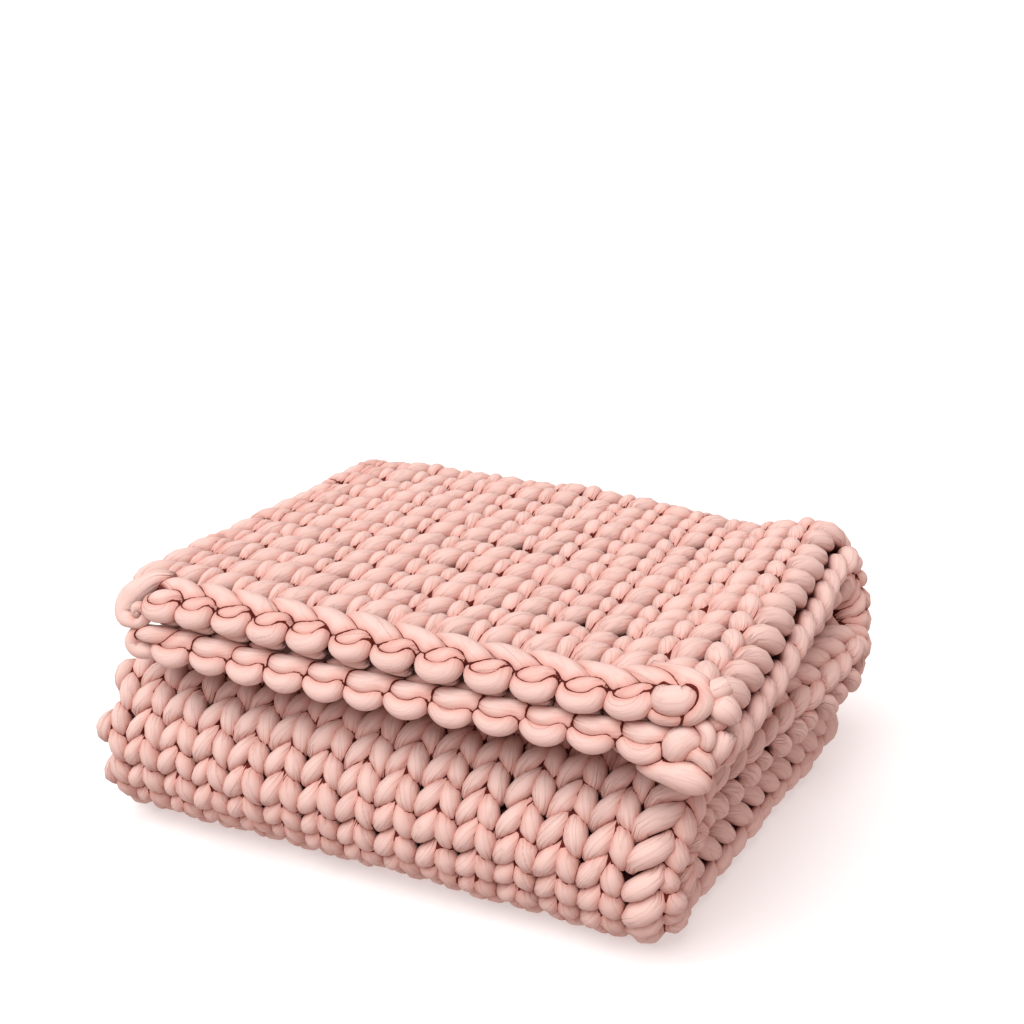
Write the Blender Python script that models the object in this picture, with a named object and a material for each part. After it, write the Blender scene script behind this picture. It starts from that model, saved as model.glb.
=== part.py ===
"""Weighted blanket, hand-knitted in stockinette from one fat stuffed jersey tube, folded for a shelf.

The blanket is one sheet. It is folded in half across its width, with the fold at the right, and the
double layer is then folded in three, back and forth, so six layers lie on each other. One closed solid
follows that path: its section is the hairpin of the first fold, and it is swept along the second.
"""

import math
from collections import namedtuple

import bmesh
import bpy

# The knit, laid flat
COLUMNS = 29  # stitches across the whole width
STITCH_WIDTH = 0.042
LAYER_PITCH = 0.048  # from one layer's middle to the next one's
LAYER_GAP = 0.003  # what is left open between two layers
HALF_THICK = (LAYER_PITCH - LAYER_GAP) / 2
CHAIN_WIDTH = 0.048  # the bind-off chain that ends each edge

# The fold in half: the sheet turns over at the right
HALF_FOLD_RADIUS = LAYER_PITCH / 2
HALF_FOLD_ARC = math.pi * HALF_FOLD_RADIUS
FLAT_WIDTH = (COLUMNS * STITCH_WIDTH - HALF_FOLD_ARC) / 2

# The fold in three: the double layer turns over at the back, and again at the front
THIRD_FOLD_RADIUS = LAYER_PITCH
FOLDED_DEPTH = 0.552
FRONT, BACK = -FOLDED_DEPTH / 2, FOLDED_DEPTH / 2
FRONT_CENTRE = FRONT + 2 * THIRD_FOLD_RADIUS
BACK_CENTRE = BACK - 2 * THIRD_FOLD_RADIUS
TOP_LEVEL, MIDDLE_LEVEL, BOTTOM_LEVEL = 5 * LAYER_PITCH, 3 * LAYER_PITCH, LAYER_PITCH
BOTTOM_END = BACK - 0.030  # the bottom third stops short of the back fold
ROWS = {"top": 11, "back fold": 7, "middle": 10, "front fold": 9, "bottom": 10}

# How deep the points of one stitch lie below its crowns, with the V's point away from the top edge
QUARTERS, HALVES = 4, 2  # steps of the points across a column and along a row
STITCH_POINTS = (
    # quarter of a column, half of a row, depth
    (0, 0, 0.011),  # notch between two columns
    (0, 1, 0.007),
    (1, 0, 0.000),  # crown of the left leg
    (1, 1, 0.008),  # crease between two legs
    (2, 0, 0.017),  # pit at the point of the V
    (2, 1, 0.008),
    (3, 0, 0.000),  # crown of the right leg
    (3, 1, 0.008),
)
DEPTH_AT = {(quarter, half): depth for quarter, half, depth in STITCH_POINTS}

# The chain of loops along each bound edge, from its lip inwards
CHAIN_PROFILE = (
    # share of the chain's width, share of the cloth's thickness, depth between loops, loop's bulge
    (0.00, 0.45, 0.000, 0.007),
    (0.18, 0.95, 0.006, 0.005),
    (0.50, 1.10, 0.008, 0.000),
    (0.82, 1.12, 0.005, 0.000),
)

# How far the ends of the double layer lie out of line, to the right
OUT_OF_LINE = {
    # at the start of: (left end, right end)
    "top": (0.016, 0.000),
    "back fold": (0.016, -0.004),
    "middle": (0.000, 0.024),
    "front fold": (-0.034, -0.030),
    "bottom": (-0.032, -0.044),
    "end": (0.000, -0.006),
}

EDGE_LIFT = 0.003  # how far the top third's free edge stands up from the fold below it
TOP_RISE = (
    # share of the way from the left end to the folded side, rise at the front, rise at the back
    (0.00, 0.000, 0.000),
    (0.30, 0.000, 0.005),
    (0.60, 0.000, 0.003),
    (0.86, 0.000, -0.007),
    (0.97, 0.006, 0.007),
    (1.10, 0.004, 0.004),
)
SELVEDGE_BUMPS = (0.010, 0.003)  # how far the side stands out at a stitch, and between two

JERSEY_PINK = (0.80, 0.50, 0.45, 1.0)
JERSEY_ROUGHNESS = 0.85

Station = namedtuple("Station", "stretch row y z across up chain")


def spine():
    """Stations along the second fold. (across, up) is the way the double layer's top half faces."""
    stations = []
    for share, thick, between, bulge in CHAIN_PROFILE:
        y = FRONT + share * CHAIN_WIDTH
        stations.append(Station("top", 0, y, TOP_LEVEL, 0, 1, (thick, between, -bulge)))
    runs = {
        "top": (FRONT + CHAIN_WIDTH, BACK_CENTRE, TOP_LEVEL, 1),
        "middle": (BACK_CENTRE, FRONT_CENTRE, MIDDLE_LEVEL, -1),
        "bottom": (FRONT_CENTRE, BOTTOM_END - CHAIN_WIDTH, BOTTOM_LEVEL, 1),
    }
    turns = {
        "back fold": (BACK_CENTRE, (TOP_LEVEL + MIDDLE_LEVEL) / 2, 1, 1),
        "front fold": (FRONT_CENTRE, (MIDDLE_LEVEL + BOTTOM_LEVEL) / 2, -1, -1),
    }
    for stretch, rows in ROWS.items():
        for step in range(rows * HALVES):
            row, share = step / HALVES, step / (rows * HALVES)
            if stretch in runs:
                start, end, level, up = runs[stretch]
                y = start + share * (end - start)
                stations.append(Station(stretch, row, y, level, 0, up, None))
            else:
                centre, level, out, facing = turns[stretch]
                turn = math.pi * share
                y = centre + out * THIRD_FOLD_RADIUS * math.sin(turn)
                z = level + THIRD_FOLD_RADIUS * math.cos(turn)
                across, up = math.sin(turn), facing * math.cos(turn)
                stations.append(Station(stretch, row, y, z, across, up, None))
    stations.append(Station("end", 0, BOTTOM_END - CHAIN_WIDTH, BOTTOM_LEVEL, 0, 1, None))
    for share, thick, between, bulge in CHAIN_PROFILE[::-1]:
        y = BOTTOM_END - share * CHAIN_WIDTH
        stations.append(Station("end", 0, y, BOTTOM_LEVEL, 0, 1, (thick, between, bulge)))
    return stations


def section_point(column, out):
    """(x from the left, height over the double layer's middle), out from the sheet's middle surface."""
    along = column * STITCH_WIDTH
    reach = HALF_FOLD_RADIUS + out
    if along <= FLAT_WIDTH:
        return along, reach
    if along >= FLAT_WIDTH + HALF_FOLD_ARC:
        return 2 * FLAT_WIDTH + HALF_FOLD_ARC - along, -reach
    turn = (along - FLAT_WIDTH) / HALF_FOLD_RADIUS
    return FLAT_WIDTH + reach * math.sin(turn), reach * math.cos(turn)


def shows(stretch, column):
    """Whether the sheet's outer face is in sight there, so that its stitches are raised."""
    if column <= FLAT_WIDTH / STITCH_WIDTH:
        return stretch in ("top", "back fold")
    if column >= COLUMNS - FLAT_WIDTH / STITCH_WIDTH:
        return stretch == "front fold"
    return True


def outer_offset(station, quarter):
    """How far out from the sheet's middle surface its outer face lies."""
    if station.chain:
        thick, between, _ = station.chain
        if station.stretch == "end" and quarter > COLUMNS * QUARTERS / 2:
            thick = min(thick, 1)  # it lies on the floor there
        return thick * HALF_THICK - (between if quarter % QUARTERS == 0 else 0)
    if not shows(station.stretch, quarter / QUARTERS):
        return HALF_THICK
    half = round(station.row * HALVES) % HALVES
    return HALF_THICK - DEPTH_AT[quarter % QUARTERS, half]


def out_of_line(station):
    """How far the double layer's left and right ends lie to the right at this station."""
    names = list(OUT_OF_LINE)
    start = OUT_OF_LINE[station.stretch]
    end = OUT_OF_LINE[names[min(names.index(station.stretch) + 1, len(names) - 1)]]
    share = station.row / ROWS.get(station.stretch, 1)
    return [a + share * (b - a) for a, b in zip(start, end)]


def lift(station):
    """How far the free edge stands up: nothing over the fold's middle, most at the lip."""
    if station.stretch != "top" or station.y > FRONT_CENTRE:
        return 0.0
    return EDGE_LIFT * ((FRONT_CENTRE - station.y) / (FRONT_CENTRE - FRONT)) ** 2


def rise(station, x, height):
    """How much higher than level the top's surface lies."""
    if station.stretch not in ("top", "back fold") or height < HALF_FOLD_RADIUS:
        return 0.0
    share = x / FLAT_WIDTH
    to_back = min((station.y - FRONT) / (BACK_CENTRE - FRONT), 1)
    for (start, *low), (end, *high) in zip(TOP_RISE, TOP_RISE[1:]):
        if share <= end:
            part = (share - start) / (end - start)
            at_front, at_back = (a + part * (b - a) for a, b in zip(low, high))
            return (at_front + to_back * (at_back - at_front)) * max(station.up, 0.0)
    return 0.0


def ring(station):
    """The closed line of points round the double layer: outer face, rim, inner face, rim."""
    left, right = out_of_line(station)
    lip = station.chain[0] if station.chain else 1.0
    bulge = station.chain[2] if station.chain else 0.0

    def place(column, out, x_out=0.0):
        x, height = section_point(column, out)
        y = station.y + station.across * height
        if out > 0:  # the loops' fronts stand out in the middle of each column and dip between two
            y += bulge * math.cos(math.tau * (column - 0.5))
        z = station.z + station.up * height + rise(station, x, height) + lift(station)
        return x + left + (right - left) * x / FLAT_WIDTH - x_out, y, z

    quarters = range(COLUMNS * QUARTERS + 1)
    outer = [place(q / QUARTERS, outer_offset(station, q)) for q in quarters]
    inner = [place(q / QUARTERS, -min(lip, 1.0) * HALF_THICK) for q in quarters]
    bump = SELVEDGE_BUMPS[round(station.row * HALVES) % HALVES] * min(lip, 1.0)
    return outer + [place(COLUMNS, 0, bump)] + inner[::-1] + [place(0, 0, bump)]


def sweep(mesh, rings):
    """Joins the rings, with each outer face split along the way its leg slants."""
    outer = COLUMNS * QUARTERS
    for near, far in zip(rings, rings[1:]):
        for i, j in zip(range(len(near)), [*range(1, len(near)), 0]):
            corners = near[i], far[i], far[j], near[j]
            if i >= outer:
                mesh.faces.new(corners)
            elif i % QUARTERS < QUARTERS / 2:
                mesh.faces.new((near[i], far[i], far[j]))
                mesh.faces.new((near[i], far[j], near[j]))
            else:
                mesh.faces.new((near[i], far[i], near[j]))
                mesh.faces.new((far[i], far[j], near[j]))


def cap(mesh, ring_verts):
    """Closes the hairpin's end: a quad for each step between its two faces, and the rims."""
    outer, count = COLUMNS * QUARTERS, len(ring_verts)
    for i in range(outer):
        corners = i, i + 1, count - 3 - i, count - 2 - i
        mesh.faces.new([ring_verts[k] for k in corners])
    for corners in ((outer, outer + 1, outer + 2), (count - 2, count - 1, 0)):
        mesh.faces.new([ring_verts[k] for k in corners])


def join_flat_faces(mesh):
    """Takes out the edges between faces that lie in one plane, as where a layer is hidden."""
    bmesh.ops.dissolve_limit(
        mesh, angle_limit=math.radians(0.1), verts=mesh.verts, edges=mesh.edges
    )
    bmesh.ops.triangulate(mesh, faces=mesh.faces)


def jersey():
    material = bpy.data.materials.new("jersey")
    material.use_nodes = True
    shader = material.node_tree.nodes["Principled BSDF"]
    shader.inputs["Base Color"].default_value = JERSEY_PINK
    shader.inputs["Roughness"].default_value = JERSEY_ROUGHNESS
    shader.inputs["Metallic"].default_value = 0.0
    return material


def centre(mesh):
    """Moves the blanket so that it stands on the origin, in the middle of its own box."""
    low, high = ([pick(v.co[k] for v in mesh.verts) for k in range(3)] for pick in (min, max))
    middle = ((low[0] + high[0]) / 2, (low[1] + high[1]) / 2, low[2])
    bmesh.ops.translate(mesh, verts=mesh.verts, vec=[-m for m in middle])


def blanket():
    mesh = bmesh.new()
    rings = [[mesh.verts.new(point) for point in ring(station)] for station in spine()]
    sweep(mesh, rings)
    cap(mesh, rings[0])
    cap(mesh, rings[-1])
    bmesh.ops.recalc_face_normals(mesh, faces=mesh.faces)
    join_flat_faces(mesh)
    centre(mesh)
    data = bpy.data.meshes.new("blanket")
    mesh.to_mesh(data)
    mesh.free()
    data.materials.append(jersey())
    bpy.context.scene.collection.objects.link(bpy.data.objects.new("blanket", data))


for obj in list(bpy.data.objects):
    bpy.data.objects.remove(obj, do_unlink=True)
blanket()
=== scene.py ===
import math

import bpy
import numpy as np
from mathutils import Matrix, Vector
from mathutils.kdtree import KDTree


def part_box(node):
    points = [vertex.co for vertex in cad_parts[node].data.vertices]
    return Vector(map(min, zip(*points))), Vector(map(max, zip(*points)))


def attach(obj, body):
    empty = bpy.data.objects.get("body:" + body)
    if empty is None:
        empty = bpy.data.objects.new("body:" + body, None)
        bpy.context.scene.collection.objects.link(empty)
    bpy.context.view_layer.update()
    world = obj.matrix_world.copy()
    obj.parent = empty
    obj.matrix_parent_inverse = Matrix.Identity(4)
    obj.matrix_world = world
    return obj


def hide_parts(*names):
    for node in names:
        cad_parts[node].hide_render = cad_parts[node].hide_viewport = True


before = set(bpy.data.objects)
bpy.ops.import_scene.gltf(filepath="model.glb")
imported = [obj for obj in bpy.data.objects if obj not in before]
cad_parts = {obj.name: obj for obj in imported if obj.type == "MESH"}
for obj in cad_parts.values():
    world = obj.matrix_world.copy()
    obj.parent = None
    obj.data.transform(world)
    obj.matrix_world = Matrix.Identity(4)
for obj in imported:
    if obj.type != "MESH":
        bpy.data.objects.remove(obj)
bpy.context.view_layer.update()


# ---------------------------------------------------------------- the camera and its light
# The folded blanket lies alone in a seamless white cove, seen from in front and above, and a little
# from the right. The light is a soft warm fill, and one wide source overhead in front.
VIEW_TURN, VIEW_LIFT, VIEW_ROLL = math.radians(24.275), math.radians(25.255), math.radians(1.243)
VIEW_DISTANCE, VIEW_CENTRE = 1.451, Vector((0.0, 0.0, 0.12))
LENS_PIXELS, PICTURE_PIXELS, SENSOR = 1366.2, 1024, 36.0
CENTRE_PIXEL = (504.85, 688.11)


def add_camera():
    sight = bpy.data.cameras.new("camera")
    sight.sensor_width = SENSOR
    sight.lens = LENS_PIXELS / PICTURE_PIXELS * SENSOR
    sight.shift_x = 0.5 - CENTRE_PIXEL[0] / PICTURE_PIXELS
    sight.shift_y = CENTRE_PIXEL[1] / PICTURE_PIXELS - 0.5
    camera = bpy.data.objects.new("camera", sight)
    back = Vector((
        math.sin(VIEW_TURN) * math.cos(VIEW_LIFT),
        -math.cos(VIEW_TURN) * math.cos(VIEW_LIFT),
        math.sin(VIEW_LIFT),
    ))
    right = Vector((math.cos(VIEW_TURN), math.sin(VIEW_TURN), 0))
    turned = Matrix((right, back.cross(right), back)).transposed() @ Matrix.Rotation(VIEW_ROLL, 3, "Z")
    camera.matrix_world = Matrix.Translation(VIEW_CENTRE + VIEW_DISTANCE * back) @ turned.to_4x4()
    bpy.context.scene.collection.objects.link(camera)
    bpy.context.scene.camera = camera


def add_soft_light(name, towards, spread, strength):
    light = bpy.data.lights.new(name, "SUN")
    light.angle, light.energy = spread, strength
    lamp = bpy.data.objects.new(name, light)
    lamp.rotation_euler = Vector(towards).to_track_quat("Z", "Y").to_euler()
    bpy.context.scene.collection.objects.link(lamp)


def add_fill(colour, strength):
    sky = bpy.data.worlds.new("sky")
    sky.use_nodes = True
    background = sky.node_tree.nodes["Background"]
    background.inputs["Color"].default_value = colour
    background.inputs["Strength"].default_value = strength
    bpy.context.scene.world = sky


add_camera()
add_soft_light("overhead", towards=(-0.12, -0.72, 1.0), spread=math.radians(45), strength=2.85)
add_fill(colour=(1, 0.74, 0.70, 1), strength=0.64)
bpy.context.scene.view_settings.view_transform = "Standard"


# ---------------------------------------------------------------- the knit
# One sheet of plain knit, hand-knitted from one fat tube of matt cotton jersey that is stuffed with
# fibre. It is folded in half across its width, with the fold at the right, and then in three, back
# and forth. A place on it is a stitch column, a row and a height over the cloth's middle surface.
COLUMNS = 29
STITCH_WIDTH = 0.042
LAYER_PITCH = 0.048  # from one layer's middle to the next one's
CHAIN_WIDTH = 0.048  # of the chain that ends the sheet, at its first and at its last row
box_low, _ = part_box("blanket")
LEFT = box_low[0] + 0.044  # the front fold's left end stands out by as much
FRONT = box_low[1] + 0.007  # the edge's loops bulge past the lip by as much
FLOOR = box_low[2] - 0.0015  # the lowest layer is pressed flat by as much
HALF_FOLD_RADIUS = LAYER_PITCH / 2
HALF_FOLD_ARC = math.pi * HALF_FOLD_RADIUS
FLAT_WIDTH = (COLUMNS * STITCH_WIDTH - HALF_FOLD_ARC) / 2
THIRD_FOLD_RADIUS = LAYER_PITCH
BACK = FRONT + 0.552  # the folded blanket's depth
FRONT_CENTRE, BACK_CENTRE = FRONT + 2 * THIRD_FOLD_RADIUS, BACK - 2 * THIRD_FOLD_RADIUS
BOTTOM_END = BACK - 0.030  # the bottom third stops short of the back fold
# the first rows of the stretches that follow the top one along the second fold, and the number of rows
BACK_FOLD, MIDDLE, FRONT_FOLD, BOTTOM, ROWS = 11, 18, 28, 37, 47
STRETCHES = (
    # first row, how far the layer's left and right ends lie to the right there
    (0, 0.016, 0.000),
    (BACK_FOLD, 0.016, -0.004),
    (MIDDLE, 0.000, 0.024),
    (FRONT_FOLD, -0.009, -0.030),
    (BOTTOM, -0.032, -0.044),
    (ROWS, 0.000, -0.006),
)
STARTS, LEFT_ENDS, RIGHT_ENDS = (np.array(part) for part in zip(*STRETCHES))
EDGE_LIFT = 0.003  # how far the top third's free edge stands up from the layers below it
TOP_RISE = (
    # share of the way to the folded side, rise at the front, rise at the back
    (0.00, 0.000, 0.000),
    (0.30, 0.000, 0.005),
    (0.60, 0.000, 0.003),
    (0.86, 0.000, -0.007),
    (0.97, 0.006, 0.007),
    (1.10, 0.004, 0.004),
)


def along_second_fold(row):
    """(y, z) of the double layer's middle at these rows, then (across, up), where its top half faces."""
    top_start = FRONT + CHAIN_WIDTH
    back_turn = np.clip((row - BACK_FOLD) / (MIDDLE - BACK_FOLD), 0, 1) * math.pi
    front_turn = np.clip((row - FRONT_FOLD) / (BOTTOM - FRONT_FOLD), 0, 1) * math.pi
    stretch = np.searchsorted(STARTS[1:5], row, side="right")
    runs = np.array((
        # start, pitch of the rows, level in layers, and 1 or -1 as the top half faces up or down
        (top_start, (BACK_CENTRE - top_start) / BACK_FOLD, 5, 1),
        (BACK_CENTRE, 0, 4, 0),
        (BACK_CENTRE, (FRONT_CENTRE - BACK_CENTRE) / (FRONT_FOLD - MIDDLE), 3, -1),
        (FRONT_CENTRE, 0, 2, 0),
        (FRONT_CENTRE, (BOTTOM_END - CHAIN_WIDTH - FRONT_CENTRE) / (ROWS - BOTTOM), 1, 1),
    ))
    start, pitch, level, up = runs[stretch].T
    y = start + pitch * (row - STARTS[stretch])
    z = level * LAYER_PITCH
    at_back, at_front = stretch == 1, stretch == 3
    y = y + at_back * THIRD_FOLD_RADIUS * np.sin(back_turn)
    y = y - at_front * THIRD_FOLD_RADIUS * np.sin(front_turn)
    z = z + THIRD_FOLD_RADIUS * (at_back * np.cos(back_turn) + at_front * np.cos(front_turn))
    across = at_back * np.sin(back_turn) + at_front * np.sin(front_turn)
    up = up + at_back * np.cos(back_turn) - at_front * np.cos(front_turn)
    return y, z, across, up


def lay(column, row, out):
    """Where these stitches lie on the folded blanket, as an array of points."""
    along = column * STITCH_WIDTH
    turn = np.clip((along - FLAT_WIDTH) / HALF_FOLD_RADIUS, 0, math.pi)
    reach = HALF_FOLD_RADIUS + out
    on_upper = along < FLAT_WIDTH + HALF_FOLD_ARC / 2
    from_left = np.where(on_upper, along, 2 * FLAT_WIDTH + HALF_FOLD_ARC - along)
    x = np.minimum(from_left, FLAT_WIDTH) + reach * np.sin(turn)
    height = reach * np.cos(turn)
    y, z, across, up = along_second_fold(row)
    left, right = np.interp(row, STARTS, LEFT_ENDS), np.interp(row, STARTS, RIGHT_ENDS)
    shares, at_front, at_back = (np.array(part) for part in zip(*TOP_RISE))
    share = x / FLAT_WIDTH
    to_back = np.clip((y - FRONT) / (BACK_CENTRE - FRONT), 0, 1)
    rise = (1 - to_back) * np.interp(share, shares, at_front)
    rise = rise + to_back * np.interp(share, shares, at_back)
    on_top = (row < MIDDLE) * np.clip(height / HALF_FOLD_RADIUS, 0, 1) * np.clip(up, 0, 1)
    to_lip = np.clip((FRONT_CENTRE - y) / (FRONT_CENTRE - FRONT), 0, 1.1) * (row < BACK_FOLD)
    return np.stack((
        LEFT + x + left + (right - left) * share,
        y + across * height,
        FLOOR + z + up * height + rise * on_top + EDGE_LIFT * to_lip ** 2,
    ), axis=-1)


class Socket:
    """A value socket of a node tree, on which Python's operators add Math nodes."""

    def __init__(self, tree, link):
        self.tree, self.link = tree, link

    def node(self, kind, settings=(), values=(), take=0):
        made = self.tree.nodes.new(kind)
        for name, value in dict(settings).items():
            setattr(made, name, value)
        for name, value in dict(values).items():
            if isinstance(value, Socket):
                self.tree.links.new(value.link, made.inputs[name])
            else:
                made.inputs[name].default_value = value
        return Socket(self.tree, made.outputs[take])

    def maths(self, operation, *values):
        return self.node("ShaderNodeMath", {"operation": operation}, enumerate(values))

    def __abs__(self):
        return self.maths("ABSOLUTE", self)

    def __add__(self, other):
        return self.maths("ADD", self, other)

    def __sub__(self, other):
        return self.maths("SUBTRACT", self, other)

    def __rsub__(self, other):
        return self.maths("SUBTRACT", other, self)

    def __mul__(self, other):
        return self.maths("MULTIPLY", self, other)

    def __pow__(self, other):
        return self.maths("POWER", self, other)

    __radd__, __rmul__ = __add__, __mul__


# The jersey creases lengthwise where the knit pinches it, and is sewn up with one fine seam. Its colour
# carries painted shade, dark and red, in the depths and creases between the loops and where strands
# touch.
JERSEY_LIGHT, JERSEY_SHADE = (0.78, 0.605, 0.555, 1), (0.71, 0.515, 0.465, 1)
# painted shade: a red for the depths and near other strands, and a near black for the deepest pits,
# creases and contact lines, which also darkens the seam's own stitches
JERSEY_PAINTED_SHADE, JERSEY_DARK_SHADE_AND_SEAM = (0.60, 0.28, 0.23, 1), (0.10, 0.012, 0.008, 1)
# the painted red shade ends 1/105 m from the next strand, and the painted dark contact line 1/3400 m
# from it
CLOSE_SLOPE, TOUCH_SLOPE = 105, 3400
SEAM_WIDTH, SEAM_STITCHES = 0.04, 300  # as a share of the yarn's half-width, and for each metre
MOTTLE_SCALE, GRAIN_SCALE = 14.0, 650.0


def jersey_material():
    material = bpy.data.materials.new("jersey")
    material.use_nodes = True
    tree = material.node_tree
    shader = tree.nodes["Principled BSDF"]
    start = Socket(tree, None)
    yarn = start.node("ShaderNodeAttribute", {"attribute_name": "yarn"}, take="Vector")
    pinch = start.node("ShaderNodeAttribute", {"attribute_name": "pinch"}, take="Fac")
    sunk = start.node("ShaderNodeAttribute", {"attribute_name": "sunk"}, take="Fac")
    gap = start.node("ShaderNodeAttribute", {"attribute_name": "gap"}, take="Fac")
    place = start.node("ShaderNodeTexCoord", take="Object")
    split = start.node("ShaderNodeSeparateXYZ", (), {"Vector": yarn})
    split_y = Socket(tree, split.link.node.outputs["Y"])
    split_z = Socket(tree, split.link.node.outputs["Z"])

    def mixed(factor, a, b):
        values = {"Factor": factor, "A": a, "B": b}
        return start.node("ShaderNodeMix", {"data_type": "RGBA"}, values, take="Result")

    def noise(vector, scale, detail):
        values = {"Vector": vector, "Scale": scale, "Detail": detail}
        return start.node("ShaderNodeTexNoise", (), values)

    def valleys(around, along, slope):
        """Thin valleys along the yarn: 1 in them, and 0 beyond a width that the slope sets."""
        scale = (around, around, along)
        stretched = start.node("ShaderNodeVectorMath", {"operation": "MULTIPLY"}, {0: yarn, 1: scale})
        wander = noise(stretched, scale=1.0, detail=1.0)
        return start.maths("MAXIMUM", 1 - abs(wander - 0.5) * slope, 0)

    # creases run all along the yarn, and are deepest where it is pinched; wrinkles are only there.
    # Both dent the yarn, and both are also darkened in the colour as painted shade.
    pinched = start.maths("MULTIPLY_ADD", pinch, 0.88, 0.12)
    creases = valleys(around=1.5, along=22.0, slope=18.0) ** 1.5 * pinched
    wrinkles = valleys(around=3.2, along=30.0, slope=7.0) * pinch

    # the seam: a fine line of stitches along the tube
    on_seam = start.maths("LESS_THAN", abs(split_y), SEAM_WIDTH)
    on_seam = on_seam * start.maths("GREATER_THAN", split, 0.0)
    stitches = start.maths("LESS_THAN", start.maths("FRACT", split_z * SEAM_STITCHES), 0.6)
    seam = on_seam * (0.35 + stitches * 0.65)

    mottle = noise(place, MOTTLE_SCALE, detail=3.0)
    grain = noise(place, GRAIN_SCALE, detail=2.0)
    tone = start.maths("MULTIPLY_ADD", mottle, 0.5, grain * 0.5)
    plain = mixed(tone, JERSEY_SHADE, JERSEY_LIGHT)

    # painted contact shadow: a thin dark line where two strands touch, and a softer painted red shade
    # near them
    close = start.maths("MAXIMUM", 1 - gap * CLOSE_SLOPE, 0)
    touch = start.maths("MAXIMUM", 1 - gap * TOUCH_SLOPE, 0)
    # painted red shade where the yarn lies sunk below the surface or near another strand
    shade = start.maths("MAXIMUM", sunk * 1.5, close ** 2.2 * 0.85)
    shaded = mixed(start.maths("MINIMUM", shade, 1.0), plain, JERSEY_PAINTED_SHADE)
    # painted dark shade in the deepest places, creases, wrinkles and contact lines; the seam's stitches
    # are the yarn's own darker line
    depth = start.maths("MAXIMUM", sunk * 3.2 - 1.0, creases * 0.85)
    depth = start.maths("MAXIMUM", depth, touch ** 0.8 * 0.95)
    depth = start.maths("MINIMUM", start.maths("MAXIMUM", depth, seam * 0.22) + wrinkles * 0.25, 1.0)
    tree.links.new(mixed(depth, shaded, JERSEY_DARK_SHADE_AND_SEAM).link, shader.inputs["Base Color"])

    shader.inputs["Roughness"].default_value = 0.85
    shader.inputs["Sheen Weight"].default_value = 0.06
    shader.inputs["Sheen Roughness"].default_value = 0.5
    shader.inputs["Specular IOR Level"].default_value = 0.12
    height = 1.0 - creases * 0.8 - wrinkles * 0.6 - seam * 0.2 + grain * 0.08
    raised = {"Height": height, "Strength": 0.9, "Distance": 0.0016}
    bump = start.node("ShaderNodeBump", (), raised, take="Normal")
    tree.links.new(bump.link, shader.inputs["Normal"])
    return material


jersey = jersey_material()
SURFACE, DEPTH = 0.013, 0.015  # how high over the cloth's middle the painted shade of the depths begins, and how far on down it deepens
SAME_STRAND = 0.040  # the length of yarn to each side that counts as the strand itself
NEIGHBOURS = 40  # points of other yarn that are tried for each point
RING_REACH = 0.003  # how far along the yarn a point stands for it
LARGEST_GAP, DEEPEST_PRESS = 0.02, 0.005
PLEAT_SIZE, LUMP_SIZE = 0.07, 0.02  # as shares of the yarn's size
YARN_TWIST = 9.0  # radians for each metre
laid = []  # the middle line of all the yarn so far: its points, axes, half-sizes and place along it


def gaps(places, sides):
    """How far each point of the newest yarn is from the nearest other strand's surface."""
    points, tangent, side, top, size, arc = (np.concatenate(part) for part in zip(*laid))
    tree = KDTree(len(points))
    for index, point in enumerate(points):
        tree.insert(point, index)
    tree.balance()
    count = len(places) // sides
    own = np.arange(len(points) - count, len(points))
    near = np.array([[found[1] for found in tree.find_n(points[index], NEIGHBOURS)] for index in own])
    rings = places.reshape(count, sides, 3)
    least = np.full((count, sides), LARGEST_GAP)
    for other in near.T:
        offset = rings - points[other][:, None]
        across = (offset * side[other][:, None]).sum(-1) / size[other, :1]
        over = (offset * top[other][:, None]).sum(-1) / size[other, 1:2]
        beyond = np.abs((offset * tangent[other][:, None]).sum(-1)) - RING_REACH
        gap = (np.hypot(across, over) - 1) * size[other, 1:2]
        gap = np.where(beyond > 0, np.hypot(np.maximum(gap, 0), beyond), gap)
        apart = np.abs(arc[other] - arc[own])[:, None] > SAME_STRAND
        least = np.where(apart, np.minimum(least, gap), least)
    return np.maximum(least, -DEEPEST_PRESS).ravel()


def closed_tube(first, count, sides):
    """The faces of the tube whose vertices start at first: quads along it, and its two ends."""
    start = first + np.arange(count - 1)[:, None] * sides
    side, ring_next = np.arange(sides), np.roll(np.arange(sides), -1)
    after = start + sides
    quads = np.stack((start + side, after + side, after + ring_next, start + ring_next), -1)
    ends = (first + side, first + (count - 1) * sides + side[::-1])
    return quads.reshape(-1, 4), np.array(ends)


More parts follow.
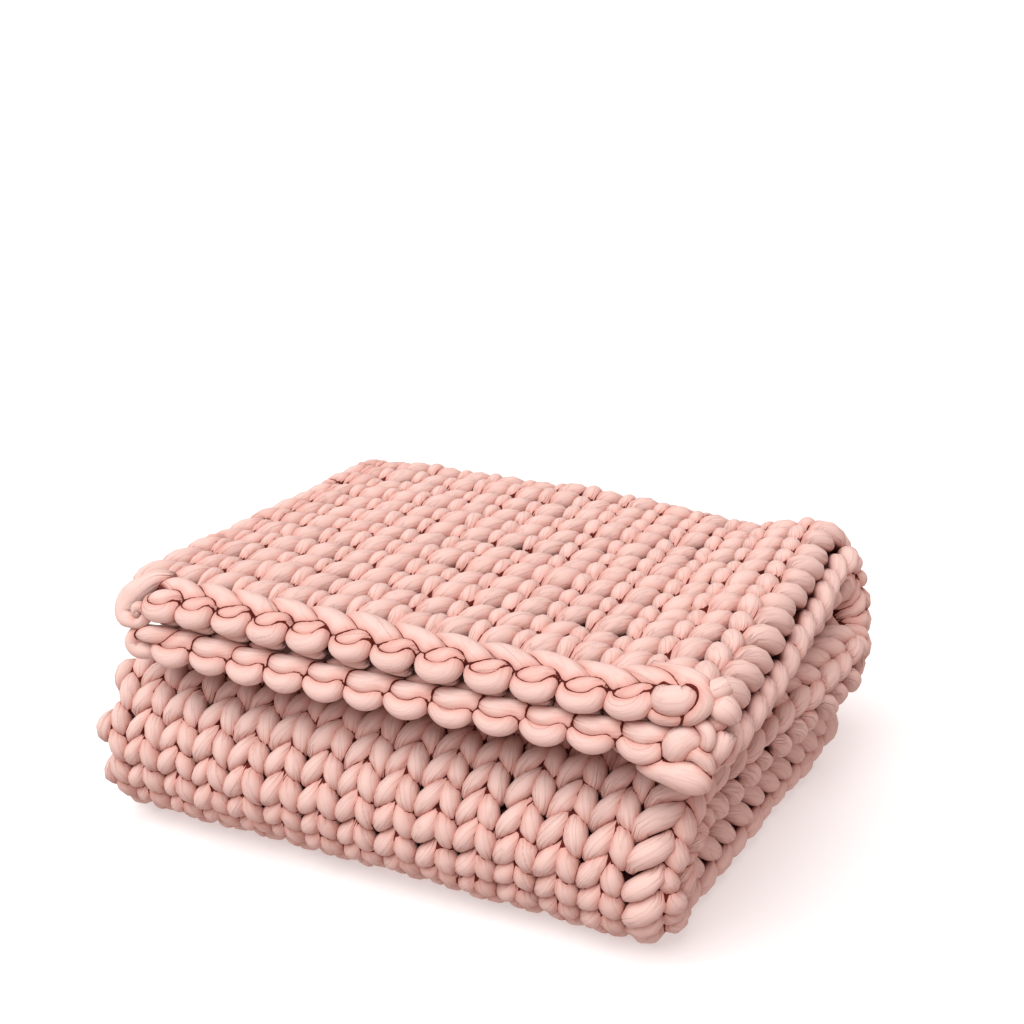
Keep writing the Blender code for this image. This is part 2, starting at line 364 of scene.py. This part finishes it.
def yarn_mesh(name, runs, sides):
    """One mesh of closed tubes. A run is (points, outward, out, half-width, half-height, pinch)."""
    places, shapes, pinches, depths, faces, first = [], [], [], [], [], 0
    turn = np.arange(sides) * math.tau / sides
    for points, outward, out, width, height, pinch in runs:
        tangent = np.gradient(points, axis=0)
        tangent /= np.linalg.norm(tangent, axis=1)[:, None]
        side = np.cross(tangent, outward)
        side /= np.linalg.norm(side, axis=1)[:, None]
        top = np.cross(side, tangent)
        steps = np.linalg.norm(np.diff(points, axis=0), axis=1)
        length = np.concatenate(((0,), np.cumsum(steps)))[:, None]
        number = len(places)
        pleats = np.cos(4 * turn + 31 * length + number) * pinch[:, None]
        lumps = np.cos(2 * turn + 47 * length + 2 * number) + np.cos(3 * turn - 83 * length + number)
        size = 1 + PLEAT_SIZE * pleats + LUMP_SIZE * lumps
        ring = (width[:, None] * size * np.cos(turn))[..., None] * side[:, None]
        ring = ring + (height[:, None] * size * np.sin(turn))[..., None] * top[:, None]
        places.append((points[:, None] + ring).reshape(-1, 3))
        half_sizes = np.stack((width, height), -1)
        laid.append((points, tangent, side, top, half_sizes, len(laid) + length[:, 0]))
        twist = turn - YARN_TWIST * length - number
        shape = np.broadcast_arrays(np.cos(twist), np.sin(twist), length + number)
        shapes.append(np.stack(shape, -1).reshape(-1, 3))
        pinches.append(np.repeat(pinch, sides))
        # how far each point lies below the cloth's surface, which sets the painted shade of the depths
        rise = out[:, None] + (ring * outward[:, None]).sum(axis=-1)
        depths.append(np.clip((SURFACE - rise) / DEPTH, 0, 1).ravel())
        faces += closed_tube(first, len(points), sides)
        first += len(points) * sides
    mesh = bpy.data.meshes.new(name)
    vertices = np.concatenate(places)
    vertices[:, 2] = np.maximum(vertices[:, 2], 0.0)  # flat where it rests
    corners = np.concatenate([group.ravel() for group in faces])
    sizes = np.concatenate([np.full(len(group), group.shape[1]) for group in faces])
    mesh.vertices.add(len(vertices))
    mesh.vertices.foreach_set("co", vertices.ravel())
    mesh.loops.add(len(corners))
    mesh.loops.foreach_set("vertex_index", corners.astype(np.int32))
    mesh.polygons.add(len(sizes))
    mesh.polygons.foreach_set("loop_start", (np.cumsum(sizes) - sizes).astype(np.int32))
    mesh.update(calc_edges=True)
    mesh.shade_smooth()
    along_yarn = mesh.attributes.new("yarn", "FLOAT_VECTOR", "POINT")
    along_yarn.data.foreach_set("vector", np.concatenate(shapes).ravel())
    # sunk and gap carry the painted shade: of the depths, and of the contact shadows between strands
    for measure, values in (
        ("pinch", np.concatenate(pinches)),
        ("sunk", np.concatenate(depths)),
        ("gap", gaps(vertices, sides)),
    ):
        mesh.attributes.new(measure, "FLOAT", "POINT").data.foreach_set("value", values)
    mesh.materials.append(jersey)
    return mesh


def add_knit(name, runs, sides):
    piece = bpy.data.objects.new(name, yarn_mesh(name, runs, sides))
    bpy.context.scene.collection.objects.link(piece)
    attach(piece, "root")
    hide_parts("blanket")


# Each row is a line of loops drawn through the loops of the row before, so that the face shows columns
# of V-shaped legs. At each side the yarn turns back into the next row.
LOOP_REACH = 0.92  # rows, from the middle of a loop to its head or its foot
LEG_LEAN = 0.27  # columns, how far a leg's two ends lean off its middle
LEG_SPREAD = 0.05  # columns, how far each of the two legs is moved off the other
LOOP_SKEW = 0.16  # columns for each row, so that one leg leans more than the other
LEG_DEPTH = 0.0105  # how far a leg's middle stands over the cloth's middle, and its ends lie under it
LEG_WIDTH, LEG_HEIGHT = 0.0113, 0.0122  # half of each, in the middle of a leg
NECK_WIDTH, NECK_HEIGHT = 0.0036, 0.0058  # half of each, where one loop goes through another
ROW_PHASE = 0.35  # rows, from a row's number to the middle of its loops
SELVEDGE_REACH = 0.02  # columns, how far a turn at the side bulges
SELVEDGE_PLUMP = 0.2  # stitches: a turn is as full in its middle as a leg is there
TURN_STEPS = 12
COLUMN_DRIFT = (-0.17, -0.032)  # columns, how far off the top's stitches lie, and what each row adds
SIDE_INSET = 0.12  # columns, from the sheet's side to its first loop
# how the yarn wanders: over how many of its points, and by how much
COLUMN_WANDER, ROW_WANDER = (9, 0.028), (12, 0.055)
HEIGHT_WANDER, SIZE_WANDER = (9, 0.0011), (16, 0.06)
NUDGE = 0.001  # a step off the cloth, to find which way is out
chance = np.random.default_rng(7)


def smooth_noise(count, spread, size):
    """Random waves, as long as the spread and as high as the size."""
    grain = chance.normal(size=count + 6 * spread)
    weight = np.exp(-0.5 * (np.arange(-3 * spread, 3 * spread + 1) / spread) ** 2)
    wave = np.convolve(grain, weight, "valid")[:count]
    return size * wave / math.sqrt((weight ** 2).sum())


def knit_rows(first, last, fine_columns, fine=26, coarse=10):
    """The yarn of these rows, to and fro, as one line with fine or coarse points in each stitch."""
    line = []
    for row in range(first, last):
        counts = [fine if column in fine_columns else coarse for column in range(COLUMNS)]
        stitch = np.concatenate([c + np.arange(n) / n for c, n in enumerate(counts)])
        swing = LOOP_REACH * np.cos(2 * math.pi * stitch)
        column = stitch + LEG_LEAN * np.sin(4 * math.pi * stitch) + LOOP_SKEW * swing
        column = column - LEG_SPREAD * np.sin(2 * math.pi * stitch)
        out = -LEG_DEPTH * np.cos(4 * math.pi * stitch)
        turn = np.arange(1, TURN_STEPS) / TURN_STEPS * math.pi
        link = np.stack((
            COLUMNS + SELVEDGE_REACH * np.sin(turn) + LOOP_SKEW * LOOP_REACH,
            row + ROW_PHASE + LOOP_REACH + 0.5 - 0.5 * np.cos(turn),
            -LEG_DEPTH * np.cos(turn * 2),
            COLUMNS + SELVEDGE_PLUMP * np.sin(turn),
        ), -1)
        run = np.stack((column, row + ROW_PHASE + swing, out, stitch), -1)
        if row % 2:
            run = run[::-1]
            link[:, 0] = LOOP_SKEW * LOOP_REACH - SELVEDGE_REACH * np.sin(turn)
            link[:, 3] -= COLUMNS
        line += [run, link] if row < last - 1 else [run]
    line = np.concatenate(line)
    column, along, out, stitch = line.T
    count = len(line)

    # the top's stitches drift to the left, but not at the open side or past the half fold
    off = COLUMN_DRIFT[0] + COLUMN_DRIFT[1] * np.clip(along, 0, BACK_FOLD)
    off = off * np.clip(column / 1.5, 0, 1) * np.clip((COLUMNS / 2 - column) / 3 + 1, 0, 1)
    column = SIDE_INSET + column * (COLUMNS - 2 * SIDE_INSET) / COLUMNS + off * (along < MIDDLE)
    column = column + smooth_noise(count, *COLUMN_WANDER)
    along = along + smooth_noise(count, *ROW_WANDER)
    out = out + smooth_noise(count, *HEIGHT_WANDER)

    front = 0.5 - 0.5 * np.cos(4 * math.pi * stitch)  # 1 in the middle of a leg, 0 at its ends
    plump = 1 + smooth_noise(count, *SIZE_WANDER)
    width = (NECK_WIDTH + (LEG_WIDTH - NECK_WIDTH) * front ** 1.3) * plump
    height = (NECK_HEIGHT + (LEG_HEIGHT - NECK_HEIGHT) * front ** 0.9) * plump
    points = lay(column, along, out)
    outward = lay(column, along, out + NUDGE) - points
    outward /= np.linalg.norm(outward, axis=1)[:, None]
    # the yarn at the sheet's sides lies open, so it counts as high as the surface and gets no painted
    # shade of the depths
    at_side = np.clip(1.6 - 2 * np.minimum(column, COLUMNS - column), 0, 1) * (SURFACE + LEG_DEPTH)
    return points, outward, out + at_side, width, height, (1 - front) ** 0.75


SIDES = 18  # of the tube's section
TOP_COLUMNS, UNDER_COLUMNS = range(0, 16), range(13, COLUMNS)  # what shows on top, and in front
FOLD_COLUMNS = range(13, 16)  # what goes round the half fold
TOP_SPLIT = 6  # the row between the two pieces of the top stretch
for name, first, last, fine_columns in (
    ("knit_top_front", 0, TOP_SPLIT, TOP_COLUMNS),
    ("knit_top_back", TOP_SPLIT, BACK_FOLD, TOP_COLUMNS),
    ("knit_back_fold", BACK_FOLD, MIDDLE, TOP_COLUMNS),
    ("knit_middle", MIDDLE, FRONT_FOLD, FOLD_COLUMNS),
    ("knit_front_fold", FRONT_FOLD, BOTTOM, UNDER_COLUMNS),
    ("knit_bottom", BOTTOM, ROWS, FOLD_COLUMNS),
):
    add_knit(name, [knit_rows(first, last, fine_columns)], SIDES)


# ---------------------------------------------------------------- the bound edge
# The last row is bound off, with the same yarn, into a chain that points along the edge: of each V, a
# long leg on the face and a short one by the lip. A round loop bulges over the lip, with a slim lobe
# behind it. Both layers of the top third end so, the upper one over the lower one.
TOP_ROW_PITCH = (BACK_CENTRE - FRONT - CHAIN_WIDTH) / BACK_FOLD
CHAIN_AXIS = 0.024  # from the lip to the middle of the chain
CHAIN_CORE = 0.004  # taken off a strand's distance from the chain's middle, to give its height, which sets its painted shade of the depths
LINK_WANDER = (0.02, 0.0005, 0.0005)  # columns, distance in, out
LINK_PLUMPNESS = 0.04  # how much a strand's size varies
UPPER_LINKS = {
    # points along each strand: columns, distance in from the lip, out, half-thickness
    "long leg": ((-0.45, 0.0400, -0.0030, 0.0055), (-0.12, 0.0365, 0.0035, 0.0098),
                 (0.22, 0.0315, 0.0085, 0.0120), (0.60, 0.0260, 0.0105, 0.0126),
                 (0.98, 0.0200, 0.0103, 0.0120), (1.28, 0.0145, 0.0085, 0.0102),
                 (1.52, 0.0110, 0.0045, 0.0076), (1.72, 0.0105, -0.0020, 0.0045)),
    "short leg": ((0.03, 0.0110, 0.0000, 0.0035), (0.13, 0.0090, 0.0024, 0.0080),
                  (0.30, 0.0088, 0.0040, 0.0105), (0.50, 0.0092, 0.0050, 0.0108),
                  (0.72, 0.0110, 0.0060, 0.0095), (0.94, 0.0140, 0.0060, 0.0055)),
    "loop": ((0.02, 0.0200, 0.0030, 0.0045), (-0.01, 0.0120, 0.0015, 0.0075),
             (0.07, 0.0040, -0.0025, 0.0086), (0.26, -0.0005, -0.0040, 0.0090),
             (0.46, -0.0010, -0.0032, 0.0090), (0.66, 0.0010, -0.0005, 0.0090),
             (0.74, 0.0060, 0.0040, 0.0082), (0.72, 0.0140, 0.0070, 0.0060),
             (0.70, 0.0200, 0.0080, 0.0040)),
    "back lobe": ((-0.31, 0.0340, -0.0150, 0.0030), (-0.18, 0.0280, -0.0160, 0.0050),
                  (0.08, 0.0170, -0.0150, 0.0070), (0.36, 0.0135, -0.0150, 0.0070),
                  (0.59, 0.0120, -0.0145, 0.0060), (0.72, 0.0120, -0.0120, 0.0035)),
}
LOWER_LINKS = {
    "short leg": ((0.92, 0.0085, -0.0160, 0.0060), (0.78, 0.0065, -0.0156, 0.0092),
                  (0.48, 0.0058, -0.0150, 0.0104), (0.08, 0.0080, -0.0154, 0.0100),
                  (-0.28, 0.0140, -0.0150, 0.0085), (-0.57, 0.0190, -0.0145, 0.0050)),
    "loop": ((0.34, 0.0200, -0.0130, 0.0045), (0.30, 0.0120, -0.0120, 0.0070),
             (0.17, 0.0040, -0.0105, 0.0085), (0.28, -0.0005, -0.0050, 0.0092),
             (0.50, -0.0015, -0.0020, 0.0095), (0.72, 0.0000, -0.0025, 0.0092),
             (0.89, 0.0040, -0.0060, 0.0088), (0.94, 0.0120, -0.0070, 0.0072),
             (0.94, 0.0200, -0.0080, 0.0045)),
    "back lobe": ((-0.31, 0.0400, -0.0200, 0.0030), (-0.18, 0.0360, -0.0215, 0.0050),
                  (0.08, 0.0240, -0.0205, 0.0072), (0.36, 0.0210, -0.0205, 0.0074),
                  (0.59, 0.0180, -0.0200, 0.0062), (0.72, 0.0160, -0.0170, 0.0035)),
}
UPPER_ENDS = {
    # points along the strands that finish the edge at its ends
    # x, distance in from the lip, z, half-thickness
    "curl": ((-0.2364, 0.037, 0.2810, 0.0060), (-0.2505, 0.034, 0.2785, 0.0098),
             (-0.2642, 0.028, 0.2691, 0.0128), (-0.2738, 0.021, 0.2597, 0.0130),
             (-0.2762, 0.014, 0.2516, 0.0112), (-0.2733, 0.008, 0.2452, 0.0085),
             (-0.2632, 0.004, 0.2445, 0.0066), (-0.2518, 0.003, 0.2461, 0.0058),
             (-0.2432, 0.002, 0.2541, 0.0050), (-0.2466, 0.003, 0.2610, 0.0050),
             (-0.2547, 0.003, 0.2605, 0.0050), (-0.2558, 0.002, 0.2547, 0.0045),
             (-0.2504, 0.001, 0.2541, 0.0032)),
    "hook": ((0.2351, 0.036, 0.2881, 0.0065), (0.2505, 0.031, 0.2863, 0.0100),
             (0.2661, 0.024, 0.2864, 0.0122), (0.2791, 0.017, 0.2851, 0.0128),
             (0.2857, 0.010, 0.2809, 0.0115), (0.2848, 0.004, 0.2756, 0.0098),
             (0.2798, 0.001, 0.2697, 0.0078), (0.2728, 0.001, 0.2646, 0.0050)),
    "last loop": ((0.2540, 0.012, 0.2801, 0.0095), (0.2575, 0.005, 0.2769, 0.0118),
                  (0.2668, 0.001, 0.2798, 0.0125), (0.2749, 0.003, 0.2824, 0.0110),
                  (0.2778, 0.008, 0.2861, 0.0080)),
    "under loop": ((0.2470, 0.010, 0.2724, 0.0050), (0.2504, 0.004, 0.2652, 0.0075),
                   (0.2613, 0.001, 0.2655, 0.0080), (0.2725, 0.001, 0.2689, 0.0075),
                   (0.2795, 0.003, 0.2748, 0.0050)),
    "side upper": ((0.2844, 0.020, 0.2789, 0.0070), (0.2940, 0.018, 0.2871, 0.0095),
                   (0.3014, 0.024, 0.2922, 0.0075)),
    "side middle": ((0.2924, 0.018, 0.2772, 0.0075), (0.3027, 0.014, 0.2752, 0.0110),
                    (0.3098, 0.020, 0.2663, 0.0080)),
    "side lower": ((0.2881, 0.020, 0.2543, 0.0070), (0.2963, 0.018, 0.2606, 0.0090),
                   (0.3029, 0.024, 0.2674, 0.0070)),
    "side end": ((0.2962, 0.018, 0.2250, 0.0070), (0.3017, 0.014, 0.2416, 0.0105),
                 (0.3059, 0.018, 0.2540, 0.0090)),
}
LOWER_ENDS = {
    "turn": ((-0.2490, 0.014, 0.2355, 0.0045), (-0.2593, 0.009, 0.2323, 0.0080),
             (-0.2655, 0.008, 0.2222, 0.0095), (-0.2604, 0.008, 0.2160, 0.0098),
             (-0.2476, 0.008, 0.2165, 0.0085), (-0.2362, 0.010, 0.2181, 0.0055)),
    "first leg": ((-0.2557, 0.003, 0.2322, 0.0040), (-0.2445, 0.001, 0.2361, 0.0075),
                  (-0.2279, 0.002, 0.2380, 0.0085), (-0.2152, 0.006, 0.2370, 0.0070),
                  (-0.2042, 0.012, 0.2338, 0.0035)),
    "last leg": ((0.2840, 0.010, 0.2526, 0.0100), (0.2793, 0.005, 0.2494, 0.0120),
                 (0.2726, 0.002, 0.2430, 0.0130), (0.2677, 0.004, 0.2329, 0.0110)),
    "hook": ((0.2771, 0.012, 0.2589, 0.0045), (0.2878, 0.006, 0.2614, 0.0058),
             (0.2947, 0.003, 0.2574, 0.0062), (0.2957, 0.002, 0.2494, 0.0058),
             (0.2917, 0.004, 0.2413, 0.0045)),
    "arch": ((0.2702, 0.006, 0.2244, 0.0045), (0.2773, 0.002, 0.2352, 0.0060),
             (0.2866, 0.000, 0.2393, 0.0070), (0.2949, 0.001, 0.2346, 0.0070),
             (0.2990, 0.004, 0.2235, 0.0055)),
    "last loop": ((0.2391, 0.010, 0.2130, 0.0050), (0.2516, 0.003, 0.2168, 0.0095),
                  (0.2663, -0.001, 0.2187, 0.0120), (0.2808, -0.002, 0.2183, 0.0140),
                  (0.2899, 0.001, 0.2155, 0.0130), (0.2935, 0.010, 0.2083, 0.0080)),
}


def curve_through(points, count):
    """A smooth line of count values through these points."""
    points = np.array(points)
    padded = np.concatenate((2 * points[:1] - points[1:2], points, 2 * points[-1:] - points[-2:-1]))
    place = np.linspace(0, len(points) - 1, count)
    at = np.minimum(place.astype(int), len(points) - 2)
    t = (place - at)[:, None]
    a, b, c, d = (padded[at + k] for k in range(4))
    line = 2 * b + (c - a) * t
    line = line + (2 * a - 5 * b + 4 * c - d) * t ** 2
    line = line + (3 * b - a - 3 * c + d) * t ** 3
    return 0.5 * line


def front_row(inward):
    """The row at this distance in from the lip."""
    return (inward - CHAIN_WIDTH) / TOP_ROW_PITCH


def edge_yarn(points, row_of, count=24):
    """Yarn through points of an edge, pinched at its ends. It faces away from the chain's middle."""
    column, inward, out, size = curve_through(points, count).T
    line = lay(column, row_of(inward), out)
    outward = line - lay(column, row_of(CHAIN_AXIS + 0 * inward), 0 * out)
    outward /= np.linalg.norm(outward, axis=1)[:, None]
    away = np.hypot(inward - CHAIN_AXIS, out) - CHAIN_CORE
    place = np.linspace(-1, 1, count)
    return line, outward, away, size, size, place ** 4


def chain(links, columns, row_of=front_row, uneven=lambda column: (0, 0)):
    """The strands of an edge's links, one link to a column."""
    runs = []
    for column in columns:
        off, lift = uneven(column)
        for points in links.values():
            shift = chance.normal(size=3) * LINK_WANDER + (off, 0, lift)
            plump = 1 + LINK_PLUMPNESS * chance.normal()
            runs.append(edge_yarn([
                (column + c + shift[0], inward + shift[1], out + shift[2], size * plump)
                for c, inward, out, size in points
            ], row_of))
    return runs


def end_yarn(points, count=40):
    """Yarn through points at an end of an edge, pinched at its ends. It faces out over the lip."""
    x, inward, z, size = curve_through(points, count).T
    line = np.stack((x, FRONT + inward, z), -1)
    outward = np.tile((0, -1, 0), (count, 1))
    # high enough that the ends get none of the painted shade of the depths
    out = np.full(count, 2 * SURFACE)
    place = np.linspace(-1, 1, count)
    return line, outward, out, size, size, 0.5 * place ** 6


FOLD_LEGS = (13.35, 13.90, 14.45, 15.00)  # columns
FOLD_LEG = (
    # columns, distance in from the lip, out, half-thickness
    (0.00, 0.064, -0.0060, 0.0060),
    (0.06, 0.050, 0.0040, 0.0100),
    (0.16, 0.036, 0.0070, 0.0108),
    (0.26, 0.024, 0.0050, 0.0095),
    (0.30, 0.016, 0.0000, 0.0065),
)


def fold_leg(column):
    """A leg of the last row where the edge goes round the half fold, from the knit to the lip."""
    return edge_yarn([(column + c, *rest) for c, *rest in FOLD_LEG], front_row)


def upper_uneven(column):
    """How far a link of the upper edge lies off its column, and how far up.

    The links of the edge's left part lie to the left, and the others to the right.
    """
    return -0.05 - 0.17 * math.sin(math.pi * (column - 1) / 7), 0


def lower_uneven(column):
    """The same for the lower edge, whose links near the half fold are pulled back and down."""
    to_fold = np.clip((22 - column) / 6, 0, 1)
    return -0.12 - 0.25 * to_fold, -0.010 * to_fold


upper_edge = chain(UPPER_LINKS, range(1, 13), uneven=upper_uneven)
upper_edge += [end_yarn(points) for points in UPPER_ENDS.values()]
upper_edge += [fold_leg(column) for column in FOLD_LEGS]
add_knit("bound_edge_upper", upper_edge, SIDES)
lower_edge = chain(LOWER_LINKS, range(16, 28), uneven=lower_uneven)
lower_edge += [end_yarn(points) for points in LOWER_ENDS.values()]
add_knit("bound_edge_lower", lower_edge, SIDES)


# ---------------------------------------------------------------- the cast-on edge
# The first row's chain of the same yarn, worked before the knit. It ends the bottom third, at the back
# under the back fold. Its last link has no long leg, because no link follows it.
BOTTOM_ROW_PITCH = (BOTTOM_END - CHAIN_WIDTH - FRONT_CENTRE) / (ROWS - BOTTOM)
LAST_LINK = {name: UPPER_LINKS[name] for name in ("short leg", "loop", "back lobe")}
CAST_ON_SIDES = 12  # fewer, as it is hidden from most sides


def back_row(inward):
    """The row at this distance in from the sheet's first edge."""
    return ROWS + (CHAIN_WIDTH - inward) / BOTTOM_ROW_PITCH


cast_on = chain(UPPER_LINKS, range(COLUMNS - 1), back_row)
cast_on += chain(LAST_LINK, (COLUMNS - 1,), back_row)
add_knit("cast_on_edge", cast_on, CAST_ON_SIDES)


# ---------------------------------------------------------------- the cove
# A seamless matt white cove, plastered and painted as one surface: a round floor that curves up into
# a low wall. It glows a little, the wall more, and throws no light back onto the blanket.
COVE_RADIUS, COVE_CURVE, COVE_HEIGHT = 7.0, 1.5, 3.0
DISC_RADIUS, COVE_STEPS, BEND_STEPS = 2.5, 64, 9


def cove_white(name, shade, glow):
    material = bpy.data.materials.new(name)
    material.use_nodes = True
    shader = material.node_tree.nodes["Principled BSDF"]
    shader.inputs["Base Color"].default_value = (shade, shade, shade, 1)
    shader.inputs["Roughness"].default_value = 1.0
    shader.inputs["Specular IOR Level"].default_value = 0.0
    shader.inputs["Emission Color"].default_value = (1, 1, 1, 1)
    shader.inputs["Emission Strength"].default_value = glow
    return material


def add_cove():
    bend = np.linspace(0, math.pi / 2, BEND_STEPS)
    profile = [(DISC_RADIUS, 0.0)]
    for a in bend:
        profile.append((COVE_RADIUS + COVE_CURVE * math.sin(a), COVE_CURVE - COVE_CURVE * math.cos(a)))
    profile += [(COVE_RADIUS + COVE_CURVE, COVE_HEIGHT)]
    turns = [step * math.tau / COVE_STEPS for step in range(COVE_STEPS)]
    points = [(r * math.cos(a), r * math.sin(a), z) for r, z in profile for a in turns]
    faces = [tuple(range(COVE_STEPS))]
    for inner in range(0, (len(profile) - 1) * COVE_STEPS, COVE_STEPS):
        outer = inner + COVE_STEPS
        for i in range(COVE_STEPS):
            j = (i + 1) % COVE_STEPS
            faces.append((inner + i, inner + j, outer + j, outer + i))
    mesh = bpy.data.meshes.new("cove")
    mesh.from_pydata(points, [], faces)
    mesh.materials.append(cove_white("cove_floor", shade=0.65, glow=0.4))
    mesh.materials.append(cove_white("cove_wall", shade=0.9, glow=0.7))
    for polygon in mesh.polygons:  # the disc and two rings round it are floor
        polygon.material_index = int(polygon.index > 2 * COVE_STEPS)
    cove = bpy.data.objects.new("cove", mesh)
    bpy.context.scene.collection.objects.link(cove)
    cove.visible_diffuse = False


add_cove()
